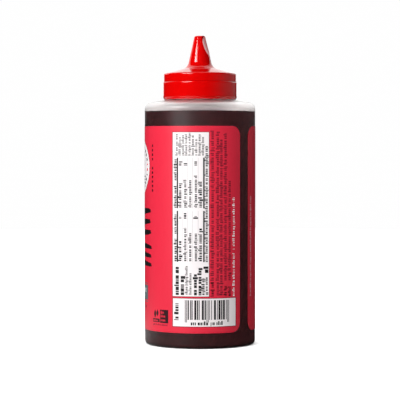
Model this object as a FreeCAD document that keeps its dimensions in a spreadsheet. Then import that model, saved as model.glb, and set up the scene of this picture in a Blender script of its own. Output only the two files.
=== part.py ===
import FreeCAD, Part
import math
import os
import re
import Sketcher

# A squeeze bottle of thick sauce, shut, in millimetres: a blown bottle, the sauce in it, the label wrapped
# round it, and a screwed-on cap of two pieces, a base and a lid that carries the pointed spout.
# Frame: +Z up, the origin at the centre of the ring that the bottle stands on. Turns about +Z are counted
# from -Y towards +X, so a turn of 0 faces -Y and a turn of 90 faces +X.
#
# Every piece is turned: half of its section is a sketch in the piece's own XZ plane, whose corners are bound
# to the sheet. A corner is dimensioned where its two sides would meet, and its round is tangent to both.

SIZES = {
    # The blown bottle
    "body_radius": (34.5, "outside of the straight wall, under the label"),
    "body_wall": (1.0, "thickness of the blown wall"),
    "heel_round": (2.5, "round between the wall and the standing ring"),
    "ring_width": (3.0, "from the heel's round to where the base is pushed up"),
    "ring_round": (2.0, "round at the standing ring's inner side"),
    "push_up": (3.0, "height of the base panel over the standing ring"),
    "push_lean": (40.0, "rise of the push-up's side, in degrees"),
    "panel_round": (1.5, "round between the push-up's side and the base panel"),
    "shoulder_height": (150.2, "height at which the wall and the shoulder's slope would meet"),
    "shoulder_round": (4.2, "round between the wall and the shoulder"),
    "shoulder_slope": (10.0, "slope of the shoulder, in degrees"),
    "neck_radius": (21.2, "outside of the neck"),
    "neck_wall": (1.6, "thickness of the neck"),
    "neck_height": (9.7, "from the shoulder to the neck's land"),
    # The sauce
    "fill_drop": (5.2, "from the shoulder's height down to the sauce"),
    # The label
    "label_film": (0.15, "thickness of the film with its glue"),
    "label_foot": (9.7, "height of the label's lower edge"),
    "label_drop": (14.3, "from the shoulder's height down to the label's upper edge"),
    "label_corner": (5.1, "round of the label's corners"),
    "label_gap": (8.2, "bare strip between the label's two ends"),
    "gap_turn": (51.8, "where the middle of that strip faces, in degrees"),
    # The cap's base
    "thread_room": (0.2, "between the neck and the skirt"),
    "skirt_wall": (1.73, "thickness of the skirt"),
    "skirt_gap": (0.1, "between the shoulder and the skirt"),
    "deck": (1.5, "thickness of the plate that closes on the neck's land"),
    "foot_inset": (0.8, "how far the skirt's foot draws in"),
    "foot_rise": (1.7, "height over which it does"),
    "foot_round": (0.5, "round where the foot meets the skirt"),
    "ledge_round": (0.9, "round of the ledge round the lid"),
    # The lid with its spout
    "ledge": (0.36, "how far the base stands out past the lid"),
    "rim_height": (5.05, "height at which the lid's side and its dome would meet"),
    "rim_round": (1.1, "round between them"),
    "dome_slope": (15.0, "slope of the lid's dome, in degrees"),
    "spout_foot": (7.84, "radius at which the spout and the dome would meet"),
    "flare_round": (5.2, "round between the dome and the spout"),
    "tip_radius": (3.53, "radius at which the spout and its flat tip would meet"),
    "tip_round": (1.4, "round between them"),
    "lid_height": (28.7, "from the ledge to the spout's tip"),
    # The thumb scoop, hollowed out of the spout's side
    "scoop_turn": (67.0, "where the scoop faces, in degrees"),
    "scoop_floor": (2.1, "from the spout's axis to the scoop's floor, at the tip"),
    "scoop_waist": (2.83, "from the spout's axis to where the floor's two slopes would meet"),
    "scoop_fall": (6.5, "from the tip down to there"),
    "scoop_bend": (26.0, "round between the two slopes"),
    "scoop_length": (12.1, "from the tip down to where the scoop runs out"),
    "scoop_sweep": (16.9, "radius of the scoop across the spout, at the tip"),
}

# How far a cut reaches past the solid that it cuts
OVERSHOOT = 1.0

# Sizes that follow from the sheet's, as expressions in its cells
RING_RADIUS = "(body_radius - heel_round - ring_width)"
PANEL_RADIUS = f"({RING_RADIUS} - push_up / tan(push_lean))"
PUSH_SHIFT = "body_wall * tan(push_lean / 2)"
SHOULDER_SHIFT = "body_wall * tan(45 - shoulder_slope / 2)"
BORE_RADIUS = "(neck_radius - neck_wall)"
NECK_FOOT = "(shoulder_height + (body_radius - neck_radius) * tan(shoulder_slope))"
BORE_FOOT = (f"(shoulder_height - {SHOULDER_SHIFT}"
             f" + (body_radius - body_wall - {BORE_RADIUS}) * tan(shoulder_slope))")
LABEL_TOP = "(shoulder_height - label_drop)"
SKIRT_BORE = "(neck_radius + thread_room)"
CAP_RADIUS = f"({SKIRT_BORE} + skirt_wall)"
SKIRT_DEPTH = "(neck_height - skirt_gap)"
LID_RADIUS = f"({CAP_RADIUS} - ledge)"
SPOUT_FOOT_HEIGHT = f"(rim_height + ({LID_RADIUS} - spout_foot) * tan(dome_slope))"
SPOUT_TAPER = f"((spout_foot - tip_radius) / (lid_height - {SPOUT_FOOT_HEIGHT}))"
SCOOP_AXIS = "(scoop_floor + scoop_sweep)"


def make_sheet(doc):
    """Writes the sizes to a sheet, one to a row, each with its name as the cell's alias."""
    sheet = doc.addObject("Spreadsheet::Sheet", "Sizes")
    for row, (name, (size, meaning)) in enumerate(SIZES.items(), start=1):
        sheet.set(f"A{row}", name)
        sheet.set(f"B{row}", str(size))
        sheet.set(f"C{row}", meaning)
        sheet.setAlias(f"B{row}", name)
    doc.recompute()
    return sheet


def in_cells(text):
    """The expression with each size's name turned into its cell in the sheet."""
    names = "|".join(SIZES)
    return re.sub(rf"\b({names})\b", r"Sizes.\1", text)


def number(sheet, text):
    return float(sheet.evalExpression(in_cells(text)))


def bind(thing, path, text):
    thing.setExpression(path, in_cells(text))


def add_sketch(body, name):
    """A sketch on the body's own XZ plane: its x is the radius and its y the height."""
    sketch = body.newObject("Sketcher::SketchObject", name)
    plane = next(item for item in body.Origin.OriginFeatures if item.Role == "XZ_Plane")
    sketch.AttachmentSupport = (plane, [""])
    sketch.MapMode = "FlatFace"
    return sketch


def pin_point(sketch, sheet, geometry, end, across, up):
    """Fixes a point of the sketch at (across, up), two expressions."""
    for kind, axis, text in (("DistanceX", -2, across), ("DistanceY", -1, up)):
        if text == "0":
            sketch.addConstraint(Sketcher.Constraint("PointOnObject", geometry, end, axis))
            continue
        distance = Sketcher.Constraint(kind, -1, 1, geometry, end, number(sheet, text))
        index = sketch.addConstraint(distance)
        bind(sketch, f"Constraints[{index}]", text)


def draw_outline(sketch, sheet, corners):
    """Draws a closed outline through its corners, each (across, up) or (across, up, round) in expressions."""
    points = [FreeCAD.Vector(number(sheet, c[0]), number(sheet, c[1]), 0) for c in corners]
    rounds = [number(sheet, c[2]) if len(c) > 2 else 0.0 for c in corners]
    count = len(corners)
    ways = [(points[(i + 1) % count] - points[i]).normalize() for i in range(count)]
    turns = [ways[i - 1].getAngle(ways[i]) for i in range(count)]
    trims = [rounds[i] * math.tan(turns[i] / 2) for i in range(count)]

    for i in range(count):
        after = (i + 1) % count
        start = points[i] + ways[i] * trims[i]
        end = points[after] - ways[i] * trims[after]
        sketch.addGeometry(Part.LineSegment(start, end))

    for i in range(count):
        before = (i - 1) % count
        if not rounds[i]:
            sketch.addConstraint(Sketcher.Constraint("Coincident", before, 2, i, 1))
            pin_point(sketch, sheet, i, 1, corners[i][0], corners[i][1])
            continue
        inwards = (ways[i] - ways[i - 1]).normalize()
        centre = points[i] + inwards * (rounds[i] / math.cos(turns[i] / 2))
        arrival = points[i] - ways[i - 1] * trims[i] - centre
        departure = points[i] + ways[i] * trims[i] - centre
        turns_left = ways[i - 1].cross(ways[i]).z > 0
        first, last = (arrival, departure) if turns_left else (departure, arrival)
        circle = Part.Circle(centre, FreeCAD.Vector(0, 0, 1), rounds[i])
        arc = sketch.addGeometry(
            Part.ArcOfCircle(circle, math.atan2(first.y, first.x), math.atan2(last.y, last.x))
        )
        way_in, way_out = (1, 2) if turns_left else (2, 1)
        sketch.addConstraint(Sketcher.Constraint("Tangent", before, 2, arc, way_in))
        sketch.addConstraint(Sketcher.Constraint("Tangent", arc, way_out, i, 1))
        corner = sketch.addGeometry(Part.Point(points[i]), True)
        sketch.addConstraint(Sketcher.Constraint("PointOnObject", corner, 1, before))
        sketch.addConstraint(Sketcher.Constraint("PointOnObject", corner, 1, i))
        pin_point(sketch, sheet, corner, 1, corners[i][0], corners[i][1])
        radius = sketch.addConstraint(Sketcher.Constraint("Radius", arc, rounds[i]))
        bind(sketch, f"Constraints[{radius}]", corners[i][2])


def turned_body(doc, sheet, name, corners):
    """A body revolved about its own Z axis from the half section through these corners."""
    body = doc.addObject("PartDesign::Body", name)
    section = add_sketch(body, f"{name}_section")
    draw_outline(section, sheet, corners)
    turned = body.newObject("PartDesign::Revolution", f"{name}_turned")
    turned.Profile = section
    turned.ReferenceAxis = (section, ["V_Axis"])
    turned.Angle = 360
    section.Visibility = False
    doc.recompute()
    return body


def check_cut(body, volume_before):
    """A cut that points away from the solid removes nothing and shows no error."""
    if not body.Shape.Volume < volume_before:
        raise RuntimeError(f"a cut in {body.Label} removed nothing")


def cavity_foot():
    """The inside of the bottle from the base panel's centre to the wall, as corners."""
    return [
        ("0", "push_up + body_wall"),
        (f"{PANEL_RADIUS} + {PUSH_SHIFT}", "push_up + body_wall", "panel_round + body_wall"),
        (f"{RING_RADIUS} + {PUSH_SHIFT}", "body_wall", "ring_round - body_wall"),
        ("body_radius - body_wall", "body_wall", "heel_round - body_wall"),
    ]


def make_bottle(doc, sheet):
    """A blown bottle: pushed-up base, round heel, straight wall, sloped shoulder and open neck."""
    outside = [
        ("0", "push_up"),
        (PANEL_RADIUS, "push_up", "panel_round"),
        (RING_RADIUS, "0", "ring_round"),
        ("body_radius", "0", "heel_round"),
        ("body_radius", "shoulder_height", "shoulder_round"),
        ("neck_radius", NECK_FOOT),
        ("neck_radius", f"{NECK_FOOT} + neck_height"),
    ]
    inside = cavity_foot() + [
        ("body_radius - body_wall", f"shoulder_height - {SHOULDER_SHIFT}", "shoulder_round - body_wall"),
        (BORE_RADIUS, BORE_FOOT),
        (BORE_RADIUS, f"{NECK_FOOT} + neck_height"),
    ]
    return turned_body(doc, sheet, "bottle", outside + inside[::-1])


def make_sauce(doc, sheet):
    """The sauce fills the bottle's foot and wall up to its level."""
    level = "shoulder_height - fill_drop"
    corners = cavity_foot() + [("body_radius - body_wall", level), ("0", level)]
    return turned_body(doc, sheet, "sauce", corners)


def make_label(doc, sheet):
    """A film sleeve on the wall, opened by a strip that flares into the label's round corners."""
    body = turned_body(doc, sheet, "label", [
        ("body_radius", "label_foot"),
        ("body_radius + label_film", "label_foot"),
        ("body_radius + label_film", LABEL_TOP),
        ("body_radius", LABEL_TOP),
    ])
    side = "label_gap / 2"
    reach = f"(label_gap / 2 + label_corner + {OVERSHOOT})"
    below = f"label_foot - {OVERSHOOT}"
    above = f"{LABEL_TOP} + {OVERSHOOT}"
    opening = add_sketch(body, "label_opening")
    draw_outline(opening, sheet, [
        (f"-{reach}", below),
        (reach, below),
        (reach, "label_foot"),
        (side, "label_foot", "label_corner"),
        (side, LABEL_TOP, "label_corner"),
        (reach, LABEL_TOP),
        (reach, above),
        (f"-{reach}", above),
        (f"-{reach}", LABEL_TOP),
        (f"-{side}", LABEL_TOP, "label_corner"),
        (f"-{side}", "label_foot", "label_corner"),
        (f"-{reach}", "label_foot"),
    ])
    sleeve = body.Shape.Volume
    cut = body.newObject("PartDesign::Pocket", "label_cut")
    cut.Profile = opening
    cut.Type = "ThroughAll"
    cut.Reversed = True
    opening.Visibility = False
    doc.recompute()
    check_cut(body, sleeve)
    turn_about_z(body, sheet, "gap_turn")
    return body


def turn_about_z(body, sheet, text):
    """Turns the whole body about +Z by an angle from the sheet."""
    body.Placement = FreeCAD.Placement(
        body.Placement.Base, FreeCAD.Rotation(FreeCAD.Vector(0, 0, 1), number(sheet, text))
    )
    bind(body, "Placement.Rotation.Angle", text)


def raise_to(body, text):
    """Sets the body's height in the whole."""
    bind(body, "Placement.Base.z", text)


def make_cap_base(doc, sheet):
    """The screwed base: a skirt round the neck under a plate that closes on the neck's land."""
    body = turned_body(doc, sheet, "cap_base", [
        ("0", SKIRT_DEPTH),
        (SKIRT_BORE, SKIRT_DEPTH),
        (SKIRT_BORE, "0"),
        (f"{CAP_RADIUS} - foot_inset", "0"),
        (CAP_RADIUS, "foot_rise", "foot_round"),
        (CAP_RADIUS, f"{SKIRT_DEPTH} + deck", "ledge_round"),
        ("0", f"{SKIRT_DEPTH} + deck"),
    ])
    raise_to(body, f"{NECK_FOOT} + skirt_gap")
    return body


def make_cap_lid(doc, sheet):
    """The lid: a low rim, a shallow dome and a tapering spout, with a thumb scoop turned out of its side."""
    body = turned_body(doc, sheet, "cap_lid", [
        ("0", "0"),
        (LID_RADIUS, "0"),
        (LID_RADIUS, "rim_height", "rim_round"),
        ("spout_foot", SPOUT_FOOT_HEIGHT, "flare_round"),
        ("tip_radius", "lid_height", "tip_round"),
        ("0", "lid_height"),
    ])
    run_out = "(lid_height - scoop_length)"
    scoop = add_sketch(body, "scoop_section")
    draw_outline(scoop, sheet, [
        ("scoop_floor", f"lid_height + {OVERSHOOT}"),
        ("scoop_waist", "lid_height - scoop_fall", "scoop_bend"),
        (f"tip_radius + scoop_length * {SPOUT_TAPER}", run_out),
        (SCOOP_AXIS, run_out),
        (SCOOP_AXIS, f"lid_height + {OVERSHOOT}"),
    ])
    bottom = FreeCAD.Vector(number(sheet, SCOOP_AXIS), 0, 0)
    axis = scoop.addGeometry(Part.LineSegment(bottom, bottom + FreeCAD.Vector(0, OVERSHOOT, 0)), True)
    pin_point(scoop, sheet, axis, 1, SCOOP_AXIS, "0")
    pin_point(scoop, sheet, axis, 2, SCOOP_AXIS, str(OVERSHOOT))
    whole = body.Shape.Volume
    cut = body.newObject("PartDesign::Groove", "scoop_cut")
    cut.Profile = scoop
    cut.ReferenceAxis = (scoop, ["Axis0"])
    cut.Angle = 360
    scoop.Visibility = False
    doc.recompute()
    check_cut(body, whole)
    turn_about_z(body, sheet, "scoop_turn - 90")
    raise_to(body, f"{NECK_FOOT} + neck_height + deck")
    return body


def check_document(doc, bodies):
    """Stops if any object failed, any sketch is loose, or a body isn't one valid solid."""
    for item in doc.Objects:
        if {"Invalid", "Error"} & set(item.State):
            raise RuntimeError(f"{item.Label} failed: {item.State}")
        if item.TypeId == "Sketcher::SketchObject" and not item.FullyConstrained:
            raise RuntimeError(f"{item.Label} isn't fully constrained")
    for body in bodies:
        shape = body.Shape
        if shape.isNull() or not shape.isValid() or len(shape.Solids) != 1:
            raise RuntimeError(f"{body.Label} isn't one valid solid")


def main():
    doc = FreeCAD.newDocument("SqueezeBottle")
    sheet = make_sheet(doc)
    makers = (make_bottle, make_sauce, make_label, make_cap_base, make_cap_lid)
    bodies = [make(doc, sheet) for make in makers]
    doc.recompute()
    check_document(doc, bodies)
    os.makedirs("parts", exist_ok=True)
    for body in bodies:
        body.Shape.exportStep(f"parts/{body.Label}.step")
        box = body.Shape.BoundBox
        print(f"{body.Label}: {body.Shape.Volume / 1000:.2f} cm3,"
              f" z {box.ZMin:.2f} to {box.ZMax:.2f}, across {box.XLength:.2f} by {box.YLength:.2f}")


main()
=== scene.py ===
# %% [markdown]
# # A shut squeeze bottle of barbecue sauce
#
# A blown bottle of natural, milky plastic, filled with dark sauce to just under its shoulder, wrapped in a
# glossy printed label and shut with a red moulded cap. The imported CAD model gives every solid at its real
# size. This script gives them their finishes, turns the sauce into a piece that wets the wall, and prints
# the label.

# %% Load the frame
import math
import random

import bmesh
import bpy
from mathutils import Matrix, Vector
from mathutils.geometry import delaunay_2d_cdt


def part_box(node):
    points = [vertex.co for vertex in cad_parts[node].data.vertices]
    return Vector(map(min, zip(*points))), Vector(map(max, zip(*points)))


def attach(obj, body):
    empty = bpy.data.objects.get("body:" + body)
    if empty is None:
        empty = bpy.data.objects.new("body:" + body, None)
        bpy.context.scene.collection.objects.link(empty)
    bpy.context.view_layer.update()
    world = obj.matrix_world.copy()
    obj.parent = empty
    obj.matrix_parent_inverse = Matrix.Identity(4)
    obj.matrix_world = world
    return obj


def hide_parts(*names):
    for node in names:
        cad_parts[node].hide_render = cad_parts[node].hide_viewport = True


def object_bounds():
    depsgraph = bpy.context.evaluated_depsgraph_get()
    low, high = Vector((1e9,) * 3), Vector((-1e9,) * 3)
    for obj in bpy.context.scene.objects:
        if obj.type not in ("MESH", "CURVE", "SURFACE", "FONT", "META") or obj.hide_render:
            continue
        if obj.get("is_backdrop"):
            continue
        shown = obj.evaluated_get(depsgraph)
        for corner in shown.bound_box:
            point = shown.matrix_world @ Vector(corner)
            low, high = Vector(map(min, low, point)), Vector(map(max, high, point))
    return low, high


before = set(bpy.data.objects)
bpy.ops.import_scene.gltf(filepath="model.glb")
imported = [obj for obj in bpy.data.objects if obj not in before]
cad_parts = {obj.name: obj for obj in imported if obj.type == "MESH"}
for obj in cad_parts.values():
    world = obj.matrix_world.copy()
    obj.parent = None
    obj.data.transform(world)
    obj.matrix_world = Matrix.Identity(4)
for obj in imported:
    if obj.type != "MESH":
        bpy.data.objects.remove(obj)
cad_low, cad_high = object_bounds()
MM = 0.001
print("nodes:", sorted(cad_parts))

# %% [markdown]
# ## Sizes from the frame
#
# Nothing is typed twice: radii and heights are read from the CAD nodes. The pieces are turned about the
# upright axis, so a node's reach from that axis is its radius. The label doesn't close on itself. Its two
# ends are found as the widest empty angle between its corners. Angles are measured from -Y, where the
# camera stands, towards +X.

# %% Read the sizes


def reach(node):
    """The greatest distance of a node's corners from the upright axis."""
    return max(math.hypot(v.co.x, v.co.y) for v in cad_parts[node].data.vertices)


def label_ends():
    """The angles of the label's two ends; it runs from the first one round the back to the second one."""
    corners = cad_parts["label"].data.vertices
    angles = sorted({math.atan2(v.co.x, -v.co.y) for v in corners})
    gaps = [(after - before, before, after) for before, after in zip(angles, angles[1:])]
    return max(gaps)[1:]


film_radius = reach("label")
film_inside = min(math.hypot(v.co.x, v.co.y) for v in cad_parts["label"].data.vertices)
film_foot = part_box("label")[0].z
film_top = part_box("label")[1].z
gap_start, gap_end = label_ends()
sauce_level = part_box("sauce")[1].z
print(f"film radius {film_radius / MM:.2f} mm, from {film_foot / MM:.1f} to {film_top / MM:.1f} mm up")
print(f"the label is open from {math.degrees(gap_start):.1f} to {math.degrees(gap_end):.1f} degrees")

# %% [markdown]
# ## The camera
#
# A product shot from a little above the bottle's middle: a long lens far away, so that the sides stay
# nearly parallel. It is made first, because every look is judged through it.

# %% Make the camera
CAMERA_DISTANCE = 1.0936
CAMERA_HEIGHT = 0.1227
AIM_HEIGHT = 0.0899
FOCAL_LENGTH = 157.2

camera_data = bpy.data.cameras.new("camera")
camera_data.lens = FOCAL_LENGTH
camera_data.clip_start = 0.05
camera_data.clip_end = 20
camera = bpy.data.objects.new("camera", camera_data)
camera.location = (0, -CAMERA_DISTANCE, CAMERA_HEIGHT)
aim = Vector((0, 0, AIM_HEIGHT)) - camera.location
camera.rotation_euler = aim.to_track_quat("-Z", "Y").to_euler()
bpy.context.scene.collection.objects.link(camera)
bpy.context.scene.camera = camera
bpy.context.scene.view_settings.view_transform = "Standard"
print(f"the camera looks down by {math.degrees(math.atan2(-aim.z, aim.y)):.2f} degrees")

# %% [markdown]
# ## Two helpers for materials
#
# Colours are picked as sRGB hex, as a designer reads them off a swatch, and Blender's shaders count in
# linear light, so one function turns the one into the other. The other helper adds a node, sets it up and
# links it in one call, which keeps each material short enough to read.

# %% Define the material helpers


def linear(swatch):
    """The linear colour of an sRGB hex swatch such as #e8304a."""
    parts = [int(swatch[i : i + 2], 16) / 255 for i in (1, 3, 5)]
    return tuple(c / 12.92 if c <= 0.04045 else ((c + 0.055) / 1.055) ** 2.4 for c in parts) + (1.0,)


def add(tree, kind, settings=None, inputs=None):
    """Adds a node: settings are its own choices, and inputs are values or the sockets that feed it."""
    node = tree.nodes.new(kind)
    for name, value in (settings or {}).items():
        setattr(node, name, value)
    for name, value in (inputs or {}).items():
        if isinstance(value, bpy.types.NodeSocket):
            tree.links.new(value, node.inputs[name])
        else:
            node.inputs[name].default_value = value
    return node


def new_material(name):
    """A material with an empty tree, and that tree."""
    material = bpy.data.materials.new(name)
    material.use_nodes = True
    material.node_tree.nodes.clear()
    return material, material.node_tree


print(f"a middle grey swatch is {linear('#808080')[0]:.3f} in linear light")

# %% [markdown]
# ## The studio
#
# A pale floor, sheets of white paper hung behind and above the bottle, and a low grey card on its right.
# The rest of the room is dark, as glossy things need it: upright walls mirror the room's sides and stay
# deep in colour, while the sloping shoulder, the cap's dome and the thumb scoop mirror the paper and shine.
# The paper is lit until it is brighter than plain white, so it still looks white through the milky wall.
#
# The sheets could be lit by lamps. Here they give plain light of their own, and so does the room round
# them, because how much they give can then depend on what looks at them: the camera, the inside of clear
# plastic, a gloss, or a matt surface. The floor keeps the bottle's shadow, and darkens where the heel
# leaves a thin gap over it. A gloss sees it dark but for one lit pool on the left.

# %% Make the floor, the paper and the room
FLOOR_REACH = 4.0
FLOOR_GLOW = 0.8
FLOOR_SWALLOWS = 0.35
CONTACT = 6 * MM
SHADOW_REACH = 0.5
PAPER_WHITE = 1.0
PAPER_THROUGH_WALL = 3.35
FLOOR_THROUGH_WALL = 0.02
PAPER_MIRRORED = 1.5
CARD_MIRRORED = 0.33
CARD_FADE = (-1.5, -0.1)
ROOM_MIRRORED = 0.01
ROOM_LIGHT = 0.16
CANOPY_LIGHT = 0.9
POOL_MIDDLE = (-0.13, 0.03, 0)
POOL_REACH = 0.17
POOL_MIRRORED = 1.0
PAPER_GRAIN = 25 * MM
PAPER_TONES = ("#fefefe", "#ffffff")


def by_ray(tree, camera, gloss, through, matt):
    """One level each for the camera, for a gloss, for the inside of clear plastic and for a matt surface."""
    path = add(tree, "ShaderNodeLightPath").outputs
    level = matt
    for ray, value in (("Is Camera Ray", camera), ("Is Glossy Ray", gloss), ("Is Transmission Ray", through)):
        level = add(tree, "ShaderNodeMix", None, {0: path[ray], 2: level, 3: value}).outputs[0]
    return level


def paper_colour(tree):
    """The faint grain of plain paper."""
    grain = add(tree, "ShaderNodeTexNoise", None, {"Scale": 1 / PAPER_GRAIN, "Detail": 3.0})
    tones = {0: grain.outputs["Fac"], 6: linear(PAPER_TONES[0]), 7: linear(PAPER_TONES[1])}
    return add(tree, "ShaderNodeMix", {"data_type": "RGBA"}, tones).outputs[2]


def floor_paper():
    """Matt white paper that also glows for the camera, except where something stands close over it."""
    material, tree = new_material("floor_paper")
    place = add(tree, "ShaderNodeTexCoord").outputs["Object"]
    ends = {0: place, 1: POOL_MIDDLE}
    away = add(tree, "ShaderNodeVectorMath", {"operation": "DISTANCE"}, ends).outputs["Value"]
    pool = add(
        tree,
        "ShaderNodeMapRange",
        {"interpolation_type": "SMOOTHSTEP"},
        {
            "Value": away,
            "From Min": 0.0,
            "From Max": POOL_REACH,
            "To Min": POOL_MIRRORED,
            "To Max": ROOM_MIRRORED,
        },
    ).outputs[0]
    under = add(tree, "ShaderNodeAmbientOcclusion", None, {"Distance": CONTACT}).outputs["AO"]
    away = add(tree, "ShaderNodeVectorMath", {"operation": "LENGTH"}, {0: place}).outputs["Value"]
    clear = add(tree, "ShaderNodeMath", {"operation": "GREATER_THAN"}, {0: away, 1: SHADOW_REACH}).outputs[0]
    under = add(tree, "ShaderNodeMath", {"operation": "MAXIMUM"}, {0: under, 1: clear}).outputs[0]
    glow = add(tree, "ShaderNodeMath", {"operation": "MULTIPLY"}, {0: under, 1: FLOOR_GLOW}).outputs[0]
    plain = {0: by_ray(tree, 0.0, 1.0, 1.0, FLOOR_SWALLOWS), 6: paper_colour(tree), 7: (0, 0, 0, 1)}
    colour = add(tree, "ShaderNodeMix", {"data_type": "RGBA"}, plain).outputs[2]
    matt = add(tree, "ShaderNodeBsdfDiffuse", None, {"Color": colour})
    level = by_ray(tree, glow, pool, FLOOR_THROUGH_WALL, 0.0)
    light = add(tree, "ShaderNodeEmission", None, {"Strength": level})
    both = add(tree, "ShaderNodeAddShader", None, {0: matt.outputs[0], 1: light.outputs[0]})
    add(tree, "ShaderNodeOutputMaterial", None, {"Surface": both.outputs[0]})
    return material


def sheet_paper(name, mirrored, cast, fade):
    """Paper that is lit evenly, with a brightness of its own in a gloss, and for the light it casts."""
    material, tree = new_material(name)
    if fade:
        place = add(tree, "ShaderNodeTexCoord").outputs["Object"]
        depth = add(tree, "ShaderNodeSeparateXYZ", None, {"Vector": place}).outputs["Y"]
        span = {"Value": depth, "From Min": fade[0], "From Max": fade[1], "To Min": 0.0, "To Max": mirrored}
        mirrored = add(tree, "ShaderNodeMapRange", None, span).outputs[0]
    level = by_ray(tree, PAPER_WHITE, mirrored, PAPER_THROUGH_WALL, cast)
    light = add(tree, "ShaderNodeEmission", None, {"Color": paper_colour(tree), "Strength": level})
    add(tree, "ShaderNodeOutputMaterial", None, {"Surface": light.outputs[0]})
    return material


def staged(name, corners, faces, material):
    """A mesh that is scenery and no part of the bottle."""
    mesh = bpy.data.meshes.new(name)
    mesh.from_pydata(corners, [], faces)
    mesh.materials.append(material)
    piece = bpy.data.objects.new(name, mesh)
    bpy.context.scene.collection.objects.link(piece)
    piece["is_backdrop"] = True
    return piece


SHEET_DISTANCE = 1.6
SHEET_MIDDLE = 0.16
SHEET_STEPS = 12


def hung(name, turns, rises, mirrored, cast=ROOM_LIGHT, fade=None):
    """A sheet bent round the cap, from turn to turn (0 is behind, 90 is +X) and from rise to rise."""
    corners = []
    for i in range(SHEET_STEPS + 1):
        for j in range(SHEET_STEPS + 1):
            turn = math.radians(turns[0] + (turns[1] - turns[0]) * i / SHEET_STEPS)
            rise = math.radians(rises[0] + (rises[1] - rises[0]) * j / SHEET_STEPS)
            level = SHEET_DISTANCE * math.cos(rise)
            height = SHEET_MIDDLE + SHEET_DISTANCE * math.sin(rise)
            corners.append((level * math.sin(turn), level * math.cos(turn), height))
    row = SHEET_STEPS + 1
    starts = [i * row + j for i in range(SHEET_STEPS) for j in range(SHEET_STEPS)]
    faces = [(k, k + row, k + row + 1, k + 1) for k in starts]
    staged(name, corners, faces, sheet_paper(name + "_paper", mirrored, cast, fade))


floor_corners = [(x * FLOOR_REACH, y * FLOOR_REACH, 0) for x, y in ((-1, -1), (1, -1), (1, 1), (-1, 1))]
staged("floor", floor_corners, [(0, 1, 2, 3)], floor_paper())
FLOOR_RISE, PAPER_RISE, CANOPY_RISE = -5.7, 1.2, 10
hung("curtain", (-180, 180), (FLOOR_RISE, PAPER_RISE), ROOM_MIRRORED)
hung("backdrop", (-25, 25), (PAPER_RISE, CANOPY_RISE), PAPER_MIRRORED)
hung("canopy", (-60, 60), (CANOPY_RISE, 85), PAPER_MIRRORED, CANOPY_LIGHT)
hung("grey_card", (40, 165), (PAPER_RISE, 9), CARD_MIRRORED, fade=CARD_FADE)

world = bpy.data.worlds.new("room")
world.use_nodes = True
world.node_tree.nodes.clear()
room = world.node_tree
air = by_ray(room, PAPER_WHITE, ROOM_MIRRORED, PAPER_THROUGH_WALL, ROOM_LIGHT)
around = add(room, "ShaderNodeBackground", None, {"Color": linear("#ffffff"), "Strength": air})
add(room, "ShaderNodeOutputWorld", None, {"Surface": around.outputs[0]})
bpy.context.scene.world = world
print(f"floor {2 * FLOOR_REACH:.0f} m wide, sheets {SHEET_DISTANCE} m away")

# %% [markdown]
# ## The lamps
#
# One soft box, high on the left, gives the light and the long highlights. A weak one near the camera opens
# the shadows. It could leave a highlight of its own, so no gloss sees it.

# %% Hang the lamps


def soft_box(name, azimuth, elevation, distance, size, power, mirrored=True):
    """A lamp that faces the bottle's middle; azimuth runs from the camera's side towards +X."""
    data = bpy.data.lights.new(name, "AREA")
    data.shape = "RECTANGLE"
    data.size, data.size_y = size
    data.energy = power
    lamp = bpy.data.objects.new(name, data)
    turn, rise = math.radians(azimuth), math.radians(elevation)
    middle = Vector((0, 0, (cad_low.z + cad_high.z) / 2))
    away = Vector((math.sin(turn) * math.cos(rise), -math.cos(turn) * math.cos(rise), math.sin(rise)))
    lamp.location = middle + away * distance
    lamp.rotation_euler = (-away).to_track_quat("-Z", "Y").to_euler()
    lamp.visible_glossy = mirrored
    bpy.context.scene.collection.objects.link(lamp)
    print(f"{name}: {power} W from {azimuth} degrees, {elevation} degrees up")


soft_box("key", azimuth=-42, elevation=22.5, distance=1.2, size=(0.6, 0.31), power=13.8)
soft_box("fill", azimuth=5, elevation=30, distance=1.2, size=(0.5, 0.5), power=2.6, mirrored=False)

# %% [markdown]
# ## The cap
#
# Injection-moulded polypropylene, dyed through. A polished mould leaves it glossy, with a faint orange peel
# a few millimetres wide, so its highlights have soft, slightly wavy edges. The CAD nodes already have the
# true shape, so they stay, and only get this finish. One noise moves the tint, the gloss and the relief
# together, as one mould does.

# %% Make the cap's plastic
CAP_PEEL = 3.5 * MM
CAP_RELIEF = 0.0005 * MM
CAP_GLOSS = (0.06, 0.09)
CAP_INDEX = 1.49
CAP_TONES = ("#ce0202", "#d40303")


def moulded_polypropylene():
    """Red polypropylene from a polished mould."""
    material, tree = new_material("polypropylene_moulded_red")
    place = add(tree, "ShaderNodeTexCoord").outputs["Object"]
    peel = add(tree, "ShaderNodeTexNoise", None, {"Vector": place, "Scale": 1 / CAP_PEEL, "Detail": 2.0})
    shade = add(
        tree,
        "ShaderNodeMapRange",
        None,
        {"Value": peel.outputs["Fac"], "To Min": CAP_GLOSS[0], "To Max": CAP_GLOSS[1]},
    )
    relief = add(
        tree,
        "ShaderNodeBump",
        None,
        {"Height": peel.outputs["Fac"], "Distance": CAP_RELIEF, "Strength": 1.0},
    )
    tint = add(
        tree,
        "ShaderNodeMix",
        {"data_type": "RGBA"},
        {0: peel.outputs["Fac"], 6: linear(CAP_TONES[0]), 7: linear(CAP_TONES[1])},
    )
    plastic = add(
        tree,
        "ShaderNodeBsdfPrincipled",
        None,
        {
            "Base Color": tint.outputs[2],
            "Roughness": shade.outputs[0],
            "IOR": CAP_INDEX,
            "Normal": relief.outputs[0],
        },
    )
    add(tree, "ShaderNodeOutputMaterial", None, {"Surface": plastic.outputs[0]})
    return material


def finish_node(node, material):
    """Gives a CAD node a material in every slot."""
    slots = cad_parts[node].material_slots
    for slot in slots:
        slot.material = material
    print(f"{node}: {len(slots)} slot of {material.name}")


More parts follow.
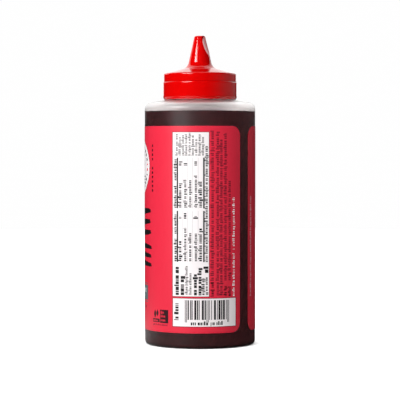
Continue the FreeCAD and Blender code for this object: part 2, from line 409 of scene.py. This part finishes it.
cap_plastic = moulded_polypropylene()
finish_node("cap_base", cap_plastic)
finish_node("cap_lid", cap_plastic)

# %% [markdown]
# ## The bottle's wall
#
# Natural polyethylene, blown to about a millimetre. Its crystals scatter light, so it is milky: clear
# enough to show the sauce that wets it, and white where there is only air behind. Rough transmission gives
# that blur, and a very small share of plain scattering gives the grey veil over the dark sauce.
#
# Just over the sauce's level the wall is painted darker: painted shade of the dark sauce seen through the
# milky plastic. It fades within a few millimetres, and it is darkest where the eye looks straight through,
# which is painted shade by facing. It could be a thin skin of its own inside the wall, but a tint of the
# wall by height is simpler.

# %% Make the wall's plastic
WALL_STREAK = 9 * MM
WALL_STRETCH = (1, 1, 0.25)
WALL_RELIEF = 0.01 * MM
WALL_HAZE = (0.3, 0.38)
WALL_CLEARNESS = 0.995
WALL_INDEX = 1.5
WALL_TONE = "#fdfcfb"
# the reach and the two tones of the painted shade just above the sauce
PAINTED_SHADE_REACH = 9 * MM
PAINTED_SHADE_TONES = ("#aea3a3", "#e0dcdb")
ASKEW = (0.01, 0.2)


def blown_polyethylene():
    """Milky polyethylene, with painted shade on its inside just above the sauce."""
    material, tree = new_material("polyethylene_blown_natural")
    place = add(tree, "ShaderNodeTexCoord").outputs["Object"]
    drawn = add(tree, "ShaderNodeMapping", None, {"Vector": place, "Scale": WALL_STRETCH})
    streak = add(
        tree,
        "ShaderNodeTexNoise",
        None,
        {"Vector": drawn.outputs[0], "Scale": 1 / WALL_STREAK, "Detail": 3.0},
    )
    haze = add(
        tree,
        "ShaderNodeMapRange",
        None,
        {"Value": streak.outputs["Fac"], "To Min": WALL_HAZE[0], "To Max": WALL_HAZE[1]},
    )
    relief = add(
        tree,
        "ShaderNodeBump",
        None,
        {"Height": streak.outputs["Fac"], "Distance": WALL_RELIEF, "Strength": 1.0},
    )
    # painted shade: the wall is darker just above the sauce, and darkest where it faces the eye
    height = add(tree, "ShaderNodeSeparateXYZ", None, {"Vector": place}).outputs["Z"]
    painted_shade_mask = add(
        tree,
        "ShaderNodeMapRange",
        {"interpolation_type": "SMOOTHSTEP"},
        {
            "Value": height,
            "From Min": sauce_level,
            "From Max": sauce_level + PAINTED_SHADE_REACH,
            "To Min": 1.0,
            "To Max": 0.0,
        },
    ).outputs[0]
    above = add(tree, "ShaderNodeMath", {"operation": "GREATER_THAN"}, {0: height, 1: sauce_level}).outputs[0]
    painted_shade_mask = add(tree, "ShaderNodeMath", {"operation": "MULTIPLY"}, {0: painted_shade_mask, 1: above}).outputs[0]
    facing = add(tree, "ShaderNodeLayerWeight", None, {"Blend": 0.5}).outputs["Facing"]
    askew = add(
        tree,
        "ShaderNodeMapRange",
        {"interpolation_type": "SMOOTHSTEP"},
        {"Value": facing, "From Min": ASKEW[0], "From Max": ASKEW[1], "To Min": 0.0, "To Max": 1.0},
    ).outputs[0]
    tones = {0: askew, 6: linear(PAINTED_SHADE_TONES[0]), 7: linear(PAINTED_SHADE_TONES[1])}
    painted_shade_tone = add(tree, "ShaderNodeMix", {"data_type": "RGBA"}, tones).outputs[2]
    tint = add(tree, "ShaderNodeMix", {"data_type": "RGBA"}, {0: painted_shade_mask, 6: linear(WALL_TONE), 7: painted_shade_tone})
    plastic = add(
        tree,
        "ShaderNodeBsdfPrincipled",
        None,
        {
            "Base Color": tint.outputs[2],
            "Roughness": haze.outputs[0],
            "IOR": WALL_INDEX,
            "Transmission Weight": WALL_CLEARNESS,
            "Normal": relief.outputs[0],
        },
    )
    add(tree, "ShaderNodeOutputMaterial", None, {"Surface": plastic.outputs[0]})
    return material


finish_node("bottle", blown_polyethylene())

# %% [markdown]
# ## The sauce
#
# Thick, opaque and very dark: tomato, molasses and vinegar with fine spice. It wets the wall, so there is
# no film of air and no strong second gloss between the two. The piece therefore reaches a little way into
# the plastic, and its sides have only the small step in index from plastic to sauce. Its open top has the
# full step from air. Along the wall it climbs a little, as thick liquids do. A new turned piece could do,
# but a copy of the CAD solid already has the inside's true shape, so the work starts from that.

# %% Make the sauce
INTO_WALL = 0.12 * MM
CLIMB = 0.3 * MM
CLIMB_WIDTH = 1.6 * MM
CLIMB_STEPS = 5
SPICE = 0.7 * MM
SPICE_CORE, SPICE_EDGE, SPICE_TINT = 0.05, 0.2, 0.5
SPICE_TONE = "#5a2414"
STREAM = 14 * MM
STREAM_TONES = ("#290b0e", "#350f13")
ON_WALL = {"index": 1.07, "roughness": 0.3}
IN_AIR = {"index": 1.4, "roughness": 0.12}
SAME_PLACE = 0.001 * MM
SAME_LEVEL = 0.01 * MM
FACES_UP = 0.3


def sauce_material(name, index, roughness):
    """Dark sauce in slow streams of two tones, with grains of spice."""
    material, tree = new_material(name)
    place = add(tree, "ShaderNodeTexCoord").outputs["Object"]
    stream = add(tree, "ShaderNodeTexNoise", None, {"Vector": place, "Scale": 1 / STREAM, "Detail": 3.0})
    body = add(
        tree,
        "ShaderNodeMix",
        {"data_type": "RGBA"},
        {0: stream.outputs["Fac"], 6: linear(STREAM_TONES[0]), 7: linear(STREAM_TONES[1])},
    )
    grain = add(tree, "ShaderNodeTexVoronoi", None, {"Vector": place, "Scale": 1 / SPICE})
    speck = add(
        tree,
        "ShaderNodeMapRange",
        None,
        {
            "Value": grain.outputs["Distance"],
            "From Min": SPICE_CORE,
            "From Max": SPICE_EDGE,
            "To Min": SPICE_TINT,
            "To Max": 0.0,
        },
    )
    colour = add(
        tree,
        "ShaderNodeMix",
        {"data_type": "RGBA"},
        {0: speck.outputs[0], 6: body.outputs[2], 7: linear(SPICE_TONE)},
    )
    liquid = add(
        tree,
        "ShaderNodeBsdfPrincipled",
        None,
        {"Base Color": colour.outputs[2], "Roughness": roughness, "IOR": index},
    )
    add(tree, "ShaderNodeOutputMaterial", None, {"Surface": liquid.outputs[0]})
    return material


def make_sauce():
    """The CAD solid, grown a little into the wall, with a top that climbs along it."""
    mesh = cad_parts["sauce"].data.copy()
    mesh.name = "sauce_fill"
    piece = bpy.data.objects.new("sauce_fill", mesh)
    bpy.context.scene.collection.objects.link(piece)
    work = bmesh.new()
    work.from_mesh(mesh)

    # take the flat top away and move the sides into the plastic
    bmesh.ops.remove_doubles(work, verts=work.verts, dist=SAME_PLACE)
    top = [f for f in work.faces if all(v.co.z > sauce_level - SAME_LEVEL for v in f.verts)]
    bmesh.ops.delete(work, geom=top, context="FACES")
    radius = reach("sauce") + INTO_WALL
    for vertex in work.verts:
        out = Vector((vertex.co.x, vertex.co.y, 0))
        if out.length > 0:
            vertex.co += out.normalized() * INTO_WALL

    # rings from the wall inwards make the climb, and one face closes the top
    rim = [e for e in work.edges if e.is_boundary]
    for step in range(CLIMB_STEPS + 1):
        share = step / CLIMB_STEPS
        ring = radius - CLIMB_WIDTH * share
        height = sauce_level + CLIMB * (1 - share) ** 2
        made = bmesh.ops.extrude_edge_only(work, edges=rim)["geom"]
        for vertex in (g for g in made if isinstance(g, bmesh.types.BMVert)):
            out = Vector((vertex.co.x, vertex.co.y, 0)).normalized()
            vertex.co = out * ring + Vector((0, 0, height))
        rim = [g for g in made if isinstance(g, bmesh.types.BMEdge)]
    bmesh.ops.holes_fill(work, edges=rim)
    bmesh.ops.recalc_face_normals(work, faces=work.faces)

    # the faces that look up are in air, and the others on the wall
    for face in work.faces:
        face.smooth = True
        face.material_index = 1 if face.normal.z > FACES_UP else 0
    work.to_mesh(mesh)
    work.free()
    mesh.materials.clear()
    mesh.materials.append(sauce_material("barbecue_sauce_on_wall", **ON_WALL))
    mesh.materials.append(sauce_material("barbecue_sauce_in_air", **IN_AIR))
    return piece


sauce = make_sauce()
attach(sauce, "root")
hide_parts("sauce")
print(f"sauce: {len(sauce.data.polygons)} faces up to {sauce_level / MM:.1f} mm")

# %% [markdown]
# ## The label: a printer's sheet
#
# The label is laid out flat, as a printer does, and then wrapped. Across is the way round the bottle in
# millimetres from the line that faces the camera, and up is the height. Every patch of ink is a polygon,
# and a later patch prints over an earlier one. One triangulation cuts them all into a single sheet, in
# which each face takes the ink on top. The print stays sharp from any distance and needs no image.
#
# The type is greeked: rows of solid marks that say nothing, so that the label carries the greys of real
# print and no lettering.

# %% Set up the sheet
sheet = []
across_start = film_radius / MM * (gap_end - math.tau)
across_end = film_radius / MM * gap_start
foot, top = film_foot / MM, film_top / MM


def patch(corners, ink):
    """Prints a polygon whose corners run anticlockwise."""
    sheet.append((corners, ink))


def block(left, low, right, high, ink):
    """Prints a rectangle."""
    patch([(left, low), (right, low), (right, high), (left, high)], ink)


def rounded(left, low, right, high, radius, ink, steps=8):
    """Prints a rectangle with rounded corners."""
    corners = []
    centres = [(right - radius, low + radius, -90), (right - radius, high - radius, 0)]
    centres += [(left + radius, high - radius, 90), (left + radius, low + radius, 180)]
    for x, y, turn in centres:
        for i in range(steps + 1):
            angle = math.radians(turn + 90 * i / steps)
            corners.append((x + radius * math.cos(angle), y + radius * math.sin(angle)))
    patch(corners, ink)


def disc(x, y, radius, ink, steps=64):
    """Prints a round spot."""
    turns = [math.tau * i / steps for i in range(steps)]
    patch([(x + radius * math.cos(t), y + radius * math.sin(t)) for t in turns], ink)


LABEL_CORNER = 6.2
rounded(across_start, foot, across_end, top, LABEL_CORNER, "red")
print(f"the sheet is {across_end - across_start:.1f} mm long and {top - foot:.1f} mm high")

# %% [markdown]
# ## Greeked type
#
# Each letter's place is one solid mark, as wide and as tall as a letter might be, and words are rows of such
# marks with gaps between them. Fine type is printed in a lighter ink than bold type, because its thin
# strokes would cover less paper. A line can run level or upwards, as most type on this label does.

# %% Define the greeked type
draw = random.Random(7)
MARK_WIDTHS = (0.24, 0.42, 0.5, 0.56, 0.72)
BOLD_WIDTHS = (0.4, 0.66, 0.74, 0.8, 1.0)
MARK_HEADS = (1.0, 1.0, 1.0, 1.42)
MARK_FEET = (0.0,) * 7 + (-0.36,)
WORD_GAP = 0.45


def mark(x, y, level, u0, v0, u1, v1, ink):
    """Prints a block given along the line of type (u) and up from it (v)."""
    if level:
        block(x + u0, y + v0, x + u1, y + v1, ink)
    else:
        block(x - v1, y + u0, x - v0, y + u1, ink)


def words(x, y, length, tall, ink="black", level=False, longest=9, gap=0.22, widths=MARK_WIDTHS):
    """Prints greeked words from (x, y) for a length, level or upwards; tall is a small letter's height."""
    u = 0.0
    while u < length - 2 * tall:
        for _ in range(draw.randint(2, longest)):
            width = tall * draw.choice(widths)
            if u + width > length:
                return
            low, high = tall * draw.choice(MARK_FEET), tall * draw.choice(MARK_HEADS)
            mark(x, y, level, u, low, u + width, high, ink)
            u += width + gap * tall
        u += WORD_GAP * tall


print(f"a mark is {min(MARK_WIDTHS)} to {max(BOLD_WIDTHS)} of a small letter's height wide")

# %% [markdown]
# ## The fact panel
#
# The white panel that faces the camera: a column of heads at its foot, a ruled table in two halves, small
# print at the top, and a long note down its right side. Its type runs upwards.

# %% Print the fact panel
PANEL_LEFT, PANEL_RIGHT = -17.3, 5.45
PANEL_LOW, PANEL_HIGH = 32.25, 132.0
EDGE = 0.42
SMALL, MEDIUM, BIG, LARGEST = 1.2, 1.4, 1.75, 2.15
NOTE = 1.35
HEAD_FOOT = 33.0
HEAD_GAPS = {BIG: 0.16, LARGEST: 0.15}


def panel(left, low, right, high):
    """Prints a white panel with the thin dark line round it that the red leaves where it stops."""
    block(left - EDGE, low - EDGE, right + EDGE, high + EDGE, "dark_red")
    block(left, low, right, high, "white")


def head(line, length, size, longest=9, start=HEAD_FOOT):
    """Prints bold greeked words that run upwards."""
    words(line, start, length, size, longest=longest, gap=HEAD_GAPS[size], widths=BOLD_WIDTHS)


panel(PANEL_LEFT, PANEL_LOW, PANEL_RIGHT, PANEL_HIGH)

# the heads, at the foot
head(-13.2, 18.6, LARGEST)
head(-9.8, 12.2, LARGEST, longest=5)
words(-7.6, 33.4, 17.5, SMALL, "mid_grey")
words(-5.2, 33.4, 13.0, SMALL, "mid_grey")
head(-1.9, 17.0, BIG)
head(0.9, 17.5, BIG)
words(2.8, 33.2, 10.5, MEDIUM)
words(4.7, 33.2, 11.0, SMALL, "grey")
head(5.15, 5.2, LARGEST, longest=3, start=46.6)

# the table's two halves, each between bold rules
TABLE_HALVES = ((53.2, 84.3), (85.8, 116.6))
TABLE_RULES = (-14.6, 1.9)
TABLE_LINES = (-11.5, -8.4, -5.3, -1.8, 1.2)
STRONG_LINES = (-11.5, 1.2)
COUNTED_LINES = (-11.5, -8.4, -1.8)
TITLE_LINE = -14.75
STRONG = 1.6
RULE, HAIRLINE = 0.95, 0.18
for low, high in TABLE_HALVES:
    long = high - low
    for line in TABLE_RULES:
        block(line, low, line + RULE, high, "black")
    words(TITLE_LINE, low + 0.3, long * 0.46, NOTE)
    words(TITLE_LINE, low + long * 0.55, long * 0.42, NOTE)
    for line in TABLE_LINES:
        size, ink = (STRONG, "black") if line in STRONG_LINES else (NOTE, "grey")
        words(line, low + 0.5, long * draw.uniform(0.5, 0.68), size, ink)
        if line in COUNTED_LINES:
            words(line, high - 4.8, 4.6, STRONG, longest=3)
        block(line + 0.6, low, line + 0.6 + HAIRLINE, high, "pale_grey")

# the small print above the table, and the note at its side
PRINT_LINES, PRINT_STEP = 9, 2.04
PRINT_LEFT, PRINT_FOOT, PRINT_LENGTH = -13.9, 117.9, 14.4
for i in range(PRINT_LINES):
    short = 3.0 if i == PRINT_LINES - 1 else draw.uniform(0, 1.4)
    words(PRINT_LEFT + PRINT_STEP * i, PRINT_FOOT, PRINT_LENGTH - short, SMALL, "mid_grey")
words(4.75, TABLE_HALVES[0][0], 71.0, NOTE, "grey")
print(f"{len(sheet)} patches so far")

# %% [markdown]
# ## The bar code
#
# A bar code is four widths for each figure, seven modules in all, between three guards. A real one could be
# worked out from a number, but these widths are drawn at random, so that they name nothing.

# %% Print the bar code
CODE_LEFT, CODE_RIGHT = -17.2, 23.5
CODE_LOW, CODE_HIGH = 13.86, 30.9
FIGURES = 4
FIGURE_MODULES = 7
GUARD = (1, 1, 1, 1)
BARS_LEFT, BARS_WIDE = -9.3, 28.3
MODULE = BARS_WIDE / (2 * FIGURES * FIGURE_MODULES + 3 * sum(GUARD))
BAR_FOOT, BAR_HEAD, GUARD_FOOT = 18.0, 29.9, 16.4
COUNTS = ((-11.4, 2.4), (-5.6, 11.0), (6.5, 10.4), (20.2, 2.4))


def bar_code(x):
    """Prints the bars from x on: a guard, some figures, a guard, as many figures and a guard."""

    def bars(x, widths, low):
        for i, width in enumerate(widths):
            if i % 2 == 0:
                block(x, low, x + width * MODULE, BAR_HEAD, "black")
            x += width * MODULE
        return x

    x = bars(x, GUARD, GUARD_FOOT)
    for _ in range(2):
        for _ in range(FIGURES):
            cuts = sorted(draw.sample(range(1, FIGURE_MODULES), 3))
            widths = [b - a for a, b in zip([0] + cuts, cuts + [FIGURE_MODULES])]
            x = bars(x, widths, BAR_FOOT)
        x = bars(x, GUARD, GUARD_FOOT)


panel(CODE_LEFT, CODE_LOW, CODE_RIGHT, CODE_HIGH)
bar_code(BARS_LEFT)
for left, length in COUNTS:
    words(left, 14.7, length, 1.7, level=True, longest=6)
words(-13.4, 17.6, 12.6, 2.1, longest=5)
print(f"a module is {MODULE:.2f} mm wide")

# %% [markdown]
# ## The ingredients
#
# Above the code's right half run the lines of the ingredients, dark on the red, and one white line along
# the label's end. Three of them start with heavier type.

# %% Print the ingredients
INGREDIENT_LINES = ((8.5, 101.0), (11.8, 101.0), (14.1, 98.5), (16.9, 101.0), (19.8, 72.0))
INGREDIENTS_FOOT = 32.2
HEAVY_LINES, HEAVY_LENGTH = (0, 3, 4), 9.0
for i, (line, length) in enumerate(INGREDIENT_LINES):
    heavy = HEAVY_LENGTH if i in HEAVY_LINES else 0.0
    if heavy:
        words(line, INGREDIENTS_FOOT, heavy, 1.45, "maroon")
    heavy += 0.6
    words(line, INGREDIENTS_FOOT + heavy, length - heavy, 1.5, "brown_red")

# the white line beside them, in two stretches with a short bar between
WHITE_LINE, OPEN_GAP = 22.8, 0.4
words(WHITE_LINE, 32.0, 27.0, 1.3, "white", longest=6, gap=OPEN_GAP)
block(WHITE_LINE - 1.5, 60.6, WHITE_LINE + 0.1, 60.9, "white")
words(WHITE_LINE, 62.6, 31.0, 1.3, "white", longest=6, gap=OPEN_GAP)
print(f"{len(sheet)} patches so far")

# %% [markdown]
# ## The front
#
# A white roundel stands over bold black stripes and a small slate panel. It holds a plain flame over a
# grate, inside a ring of dashes, and no name. A flame could be drawn point by point, but one formula that
# narrows and bends a circle towards its top gives a smooth one of any size. The front's middle line is a
# quarter turn to the left of the camera.

# %% Print the roundel
FRONT = -55.4
ROUNDEL_HEIGHT, ROUNDEL_RADIUS = 110.7, 16.6
FLAME_STEPS = 28
FLAME_TIP, FLAME_BELLY, FLAME_LEAN = 0.25, 0.95, 0.22


def flame(x, y, wide, tall, ink):
    """Prints a flame: a drop with a bent tip."""
    points = []
    for i in range(FLAME_STEPS):
        turn = math.tau * i / FLAME_STEPS
        pinch = (1 - math.sin(turn)) / 2
        rise = math.sin(turn) * tall / 2
        lean = FLAME_LEAN * wide * max(0.0, math.sin(turn)) ** 2
        out = wide / 2 * math.cos(turn) * (FLAME_TIP + FLAME_BELLY * pinch)
        points.append((x + out + lean, y + rise))
    patch(points, ink)


disc(FRONT, ROUNDEL_HEIGHT, ROUNDEL_RADIUS + EDGE, "dark_red")
disc(FRONT, ROUNDEL_HEIGHT, ROUNDEL_RADIUS, "white")

# a ring of dashes; half of a dash's width is an angle
RING_DASHES = 26
RING_INSIDE, RING_OUTSIDE = 12.2, 14.1
HALF_WIDE, HALF_NARROW = 0.065, 0.035
for i in range(RING_DASHES):
    turn = math.tau * (i + 0.5) / RING_DASHES
    half = HALF_WIDE if i % 4 else HALF_NARROW
    tone = "black" if i % 5 else "red"
    corners = [(RING_INSIDE, -half), (RING_OUTSIDE, -half), (RING_OUTSIDE, half), (RING_INSIDE, half)]
    spots = [(r * math.cos(turn + t), r * math.sin(turn + t)) for r, t in corners]
    patch([(FRONT + x, ROUNDEL_HEIGHT + y) for x, y in spots], tone)

# a flame over three bars of a grate
GRATE_HALVES = (8.6, 7.8, 6.4)
GRATE_TOP, GRATE_STEP = 6.4, 1.9
GRATE_BAR, GRATE_ROUND = 1.0, 0.45
flame(FRONT, ROUNDEL_HEIGHT + 2.6, 9.5, 14.0, "red")
flame(FRONT - 0.3, ROUNDEL_HEIGHT + 0.6, 4.6, 7.4, "white")
for i, half in enumerate(GRATE_HALVES):
    low = ROUNDEL_HEIGHT - GRATE_TOP - GRATE_STEP * i
    rounded(FRONT - half, low, FRONT + half, low + GRATE_BAR, GRATE_ROUND, "black", 4)
print(f"{len(sheet)} patches so far")

# %% [markdown]
# ## The seared stripes
#
# The bold black marks are the stripes that a hot grate sears into food. Each one swells in its middle,
# tapers to slanted ends and is a little worn along its edge, so none is like the next. Under them are a
# slate panel with greeked type, and up both sides of the roundel run spaced marks.

# %% Print the seared stripes and the small panel
STRIPE_STEPS = 12
STRIPE_END, STRIPE_SWELL = 0.55, 0.45
STRIPE_WEAR = 0.12
STRIPE_BEVEL = 0.4


def sear(left, right, low, slant, thick, ink="black"):
    """Prints a stripe that swells in its middle and tapers to a slanted, worn end."""
    lower, upper = [], []
    for i in range(STRIPE_STEPS + 1):
        share = i / STRIPE_STEPS
        swell = STRIPE_END + STRIPE_SWELL * math.sin(math.pi * share) ** 0.5
        middle = low + slant * share + draw.uniform(-STRIPE_WEAR, STRIPE_WEAR)
        x = left + (right - left) * share
        lower.append((x + STRIPE_BEVEL, middle - thick * swell / 2))
        upper.append((x - STRIPE_BEVEL, middle + thick * swell / 2))
    patch(lower + upper[::-1], ink)


SLANT = 2.2
for low, left, right in ((81.7, -74.5, -37.2), (75.1, -75.6, -37.6), (68.5, -76.2, -37.0)):
    sear(left, right, low, SLANT, 3.7)
for low, left, right in ((63.4, -75.0, -36.0), (58.0, -74.2, -36.6), (52.6, -73.0, -36.2)):
    sear(left, right, low, -SLANT, 3.3)

# the small panel, between two thin lines
SMALL_PANEL_HALF = 13.8
for low, high in ((28.4, 37.5), (27.1, 27.55), (38.4, 38.85)):
    block(FRONT - SMALL_PANEL_HALF, low, FRONT + SMALL_PANEL_HALF, high, "slate")
words(FRONT - 11.8, 33.6, 23.6, 2.0, "white", level=True, longest=7)
words(FRONT - 10.4, 30.0, 20.8, 1.3, "pale_grey", level=True, longest=8)
words(FRONT - 12.0, 23.4, 24.0, SMALL, "brown_red", level=True)
words(FRONT - 9.5, 20.6, 19.0, SMALL, "brown_red", level=True)

# spaced marks up both sides of the roundel, with a gap for one that is left out
MARK_WIDE, MARK_TALL, MARK_STEP = 1.35, 1.5, 2.75
MARKS, LEFT_OUT = 11, 6
MARKS_LOW, MARKS_RIGHT = 95.6, -34.1
for right in (MARKS_RIGHT, 2 * FRONT - MARKS_RIGHT + 1.4):
    for i in range(MARKS):
        low = MARKS_LOW + MARK_STEP * i
        if i != LEFT_OUT:
            block(right - MARK_WIDE, low, right, low + MARK_TALL, "maroon")
print(f"{len(sheet)} patches so far")

# %% [markdown]
# ## The small icons
#
# Two small icons stand between the front and the fact panel: two leaves over a bar, and a square block.
# Curve objects could make them, but a leaf is only two arcs of a sine, so a formula is enough.

# %% Print the icons
LEAF_STEPS = 10


def leaf(x, y, wide, tall, ink):
    """Prints a pointed leaf that stands upright."""
    shares = [i / LEAF_STEPS for i in range(LEAF_STEPS + 1)]
    left = [(x - wide / 2 * math.sin(math.pi * share), y + tall * (share - 0.5)) for share in shares]
    right = [(2 * x - px, py) for px, py in left[1:-1]]
    patch(right + left[::-1], ink)


leaf(-31.9, 20.6, 2.2, 5.2, "maroon")
leaf(-29.6, 21.2, 1.9, 4.4, "maroon")
rounded(-34.1, 15.5, -27.7, 17.7, 0.3, "maroon", 3)
words(-33.6, 16.0, 5.5, 0.9, "red", level=True)
block(-27.2, 15.3, -20.6, 23.4, "maroon")
for row in range(3):
    words(-26.7, 16.3 + 2.4 * row, 5.7, SMALL, "red", level=True, longest=5)
words(-33.8, 13.6, 13.0, 0.8, "brown_red", level=True)
print(f"{len(sheet)} patches so far")

# %% [markdown]
# ## The back
#
# The side that the camera doesn't see is finished as plainly as the rest: a story in pale type, three round
# icons with two flames and a leaf, a chart of simple bars, a white panel over seared stripes, and pale small
# print by the label's other end.

# %% Print the back
STORY_LEFT = -112.0


def column(left, high, rows, step, length, tall, ink, ragged=0):
    """Prints level rows of words from a height down; a ragged row stops short by up to that much."""
    for i in range(rows):
        short = draw.uniform(0, ragged) if ragged else 0.0
        words(left, high - step * i, length - short, tall, ink, level=True)


column(STORY_LEFT, 112.5, rows=9, step=3.1, length=27.0, tall=1.3, ink="rose", ragged=4)
words(STORY_LEFT, 118.2, 24.0, 2.3, level=True, longest=7)

# three round icons
ICON_HEIGHT, ICON_RADIUS, ICON_STEP = 76.0, 4.2, 9.2
for i, (shape, ink) in enumerate(((flame, "red"), (leaf, "slate"), (flame, "red"))):
    x = STORY_LEFT + 4.4 + ICON_STEP * i
    disc(x, ICON_HEIGHT, ICON_RADIUS, "white", 40)
    shape(x, ICON_HEIGHT + 0.2, 3.4, 5.6, ink)

# the chart, and small print under it
CHART_LEFT, CHART_RIGHT = STORY_LEFT + 11.5, STORY_LEFT + 27.5
CHART_LOW, CHART_STEP, CHART_BAR = 40.0, 5.2, 1.5
CHART_SHORTEST, CHART_GROWTH = 3.5, 2.6
for i in range(5):
    low = CHART_LOW + CHART_STEP * i
    shown = CHART_SHORTEST + CHART_GROWTH * i
    words(STORY_LEFT, low, 9.5, SMALL, "brown_red", level=True, longest=5)
    block(CHART_LEFT, low, CHART_RIGHT, low + CHART_BAR, "dark_red")
    block(CHART_LEFT, low, CHART_LEFT + shown, low + CHART_BAR, "white")
column(STORY_LEFT, 29.0, rows=3, step=3.0, length=26.0, tall=1.1, ink="brown_red")

# a white panel over four seared stripes, and small print round them
BACK_LEFT, BACK_RIGHT = -166.0, -126.0
BACK_MARGIN = 3.0
panel(BACK_LEFT, 60.0, BACK_RIGHT, 122.0)
words(BACK_LEFT + BACK_MARGIN, 114.0, 33.0, 2.8, level=True, longest=8)
block(BACK_LEFT + BACK_MARGIN, 110.6, BACK_RIGHT - BACK_MARGIN, 111.2, "black")
column(BACK_LEFT + BACK_MARGIN, 106.0, rows=13, step=3.3, length=34.0, tall=1.3, ink="grey", ragged=6)
for i in range(4):
    sear(BACK_LEFT + 2.0, BACK_RIGHT - 2.0, 50.0 - 5.6 * i, 2.0, 3.0)
column(BACK_LEFT + 4.0, 24.0, rows=3, step=3.2, length=31.0, tall=SMALL, ink="rose")
words(across_start + 4.2, 31.0, 62.0, SMALL, "rose", longest=6)
print(f"{len(sheet)} patches in all")

# %% [markdown]
# ## Inks on film
#
# The label is polypropylene film, printed and then coated with a clear gloss. The inks differ only in
# colour, for the coat is the same over all of them: a smooth, slightly wavy skin. The coat could be a layer
# of its own, but each ink's material already carries one gloss, and the waves give it life.

# %% Mix the inks
INKS = {
    "red": "#de253e",
    "white": "#efe9ea",
    "black": "#151214",
    "dark_red": "#8c1c2f",
    "maroon": "#2e0910",
    "brown_red": "#7d1528",
    "rose": "#f0a9b0",
    "slate": "#53686a",
    "grey": "#484546",
    "mid_grey": "#6f6c6d",
    "pale_grey": "#b9b8b8",
}
FILM_WAVE = 11 * MM
FILM_RELIEF = 0.02 * MM
FILM_GLOSS = (0.32, 0.4)
FILM_INDEX = 1.49


def printed_film(ink, swatch):
    """One ink of the print, under the clear coat."""
    material, tree = new_material("film_printed_" + ink)
    place = add(tree, "ShaderNodeTexCoord").outputs["Object"]
    wave = add(tree, "ShaderNodeTexNoise", None, {"Vector": place, "Scale": 1 / FILM_WAVE, "Detail": 2.0})
    gloss = add(
        tree,
        "ShaderNodeMapRange",
        None,
        {"Value": wave.outputs["Fac"], "To Min": FILM_GLOSS[0], "To Max": FILM_GLOSS[1]},
    )
    relief = add(
        tree,
        "ShaderNodeBump",
        None,
        {"Height": wave.outputs["Fac"], "Distance": FILM_RELIEF, "Strength": 1.0},
    )
    film = add(
        tree,
        "ShaderNodeBsdfPrincipled",
        None,
        {
            "Base Color": linear(swatch),
            "Roughness": gloss.outputs[0],
            "IOR": FILM_INDEX,
            "Normal": relief.outputs[0],
        },
    )
    add(tree, "ShaderNodeOutputMaterial", None, {"Surface": film.outputs[0]})
    return material


ink_order = list(INKS)
ink_materials = [printed_film(ink, INKS[ink]) for ink in ink_order]
print("inks:", ", ".join(ink_order))

# %% [markdown]
# ## Cutting and wrapping the sheet
#
# Thin sheets laid over each other would flicker where they meet, so the print is one sheet. A constrained
# triangulation takes every patch's outline as an edge that must stay, together with upright lines a few
# degrees apart, so that no triangle is wide enough to cut across the curve. The face's ink is that of the
# last patch over it. The same outline, cut by the same upright lines, makes the film's back, and a strip
# round the edge joins the two.

# %% Cut and wrap the label
WRAP_STEP = math.radians(2.5)
CUT_SLACK = 1e-4
KEEP_INSIDE = 1
EDGE_FACE = 0.2
SKIN_FACE = 0.9


def upright_lines():
    """The places of the upright lines that keep the triangles narrow."""
    count = math.ceil((across_end - across_start) * MM / film_radius / WRAP_STEP)
    return [across_start + (across_end - across_start) * i / count for i in range(1, count)]


def cut(patches):
    """Returns the corners, and each triangle on the sheet with its topmost patch."""
    corners, edges, outlines = [], [], []
    for points, _ in patches:
        outlines.append(range(len(corners), len(corners) + len(points)))
        corners += [Vector(p) for p in points]
    for x in upright_lines():
        edges.append((len(corners), len(corners) + 1))
        corners += [Vector((x, foot)), Vector((x, top))]
    made = delaunay_2d_cdt(corners, edges, [list(o) for o in outlines], KEEP_INSIDE, CUT_SLACK, True)
    return made[0], [(face, max(sources)) for face, sources in zip(made[2], made[5]) if sources]


def wrapped(points, radius):
    """The sheet's points, bent round the bottle at a radius."""
    turns = [p.x * MM / film_radius for p in points]
    return [(radius * math.sin(t), -radius * math.cos(t), p.y * MM) for t, p in zip(turns, points)]


def make_label():
    """The film: the printed front, a plain back, and a strip round the edge that joins them."""
    # the front holds every patch, and the back only the first one, which is the whole sheet
    front_points, front_faces = cut(sheet)
    back_points, back_faces = cut(sheet[:1])
    mesh = bpy.data.meshes.new("label_film")
    count = len(front_points)
    corners = wrapped(front_points, film_radius) + wrapped(back_points, film_inside)
    backs = [[count + i for i in reversed(face)] for face, _ in back_faces]
    mesh.from_pydata(corners, [], [list(face) for face, _ in front_faces] + backs)
    for material in ink_materials:
        mesh.materials.append(material)
    tones = [ink_order.index(sheet[source][1]) for _, source in front_faces]
    tones += [ink_order.index("white")] * len(backs)
    mesh.polygons.foreach_set("material_index", tones)

    # points outside the sheet's round corners hold no face; then the strip joins the two rims
    work = bmesh.new()
    work.from_mesh(mesh)
    loose = [v for v in work.verts if not v.link_faces]
    bmesh.ops.delete(work, geom=loose, context="VERTS")
    rims = [e for e in work.edges if e.is_boundary]
    bmesh.ops.bridge_loops(work, edges=rims)
    for face in work.faces:
        face.smooth = True
    work.to_mesh(mesh)
    work.free()
    return mesh


def smooth_round(mesh):
    """Sets each face's normals straight out from the axis, so that the gloss doesn't show the triangles."""
    normals = []
    for face in mesh.polygons:
        upright = abs(face.normal.z) < EDGE_FACE
        middle = Vector((face.center.x, face.center.y, 0)).normalized()
        side = 1 if face.normal.dot(middle) > 0 else -1
        on_skin = upright and abs(face.normal.dot(middle)) > SKIN_FACE
        for index in face.vertices:
            place = mesh.vertices[index].co
            out = Vector((place.x, place.y, 0)).normalized() * side
            normals.append(out if on_skin else face.normal.copy())
    mesh.normals_split_custom_set(normals)


label_mesh = make_label()
label = bpy.data.objects.new("label_film", label_mesh)
bpy.context.scene.collection.objects.link(label)
smooth_round(label_mesh)
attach(label, "root")
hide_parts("label")
print(f"label: {len(label_mesh.polygons)} faces")

# %% [markdown]
# ## The last check
#
# The dressed bottle has to keep the CAD model's size, so its box is printed in millimetres.

# %% Write the sizes and finish
low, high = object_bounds()
print("size in mm:", [round(c / MM, 2) for c in high - low])
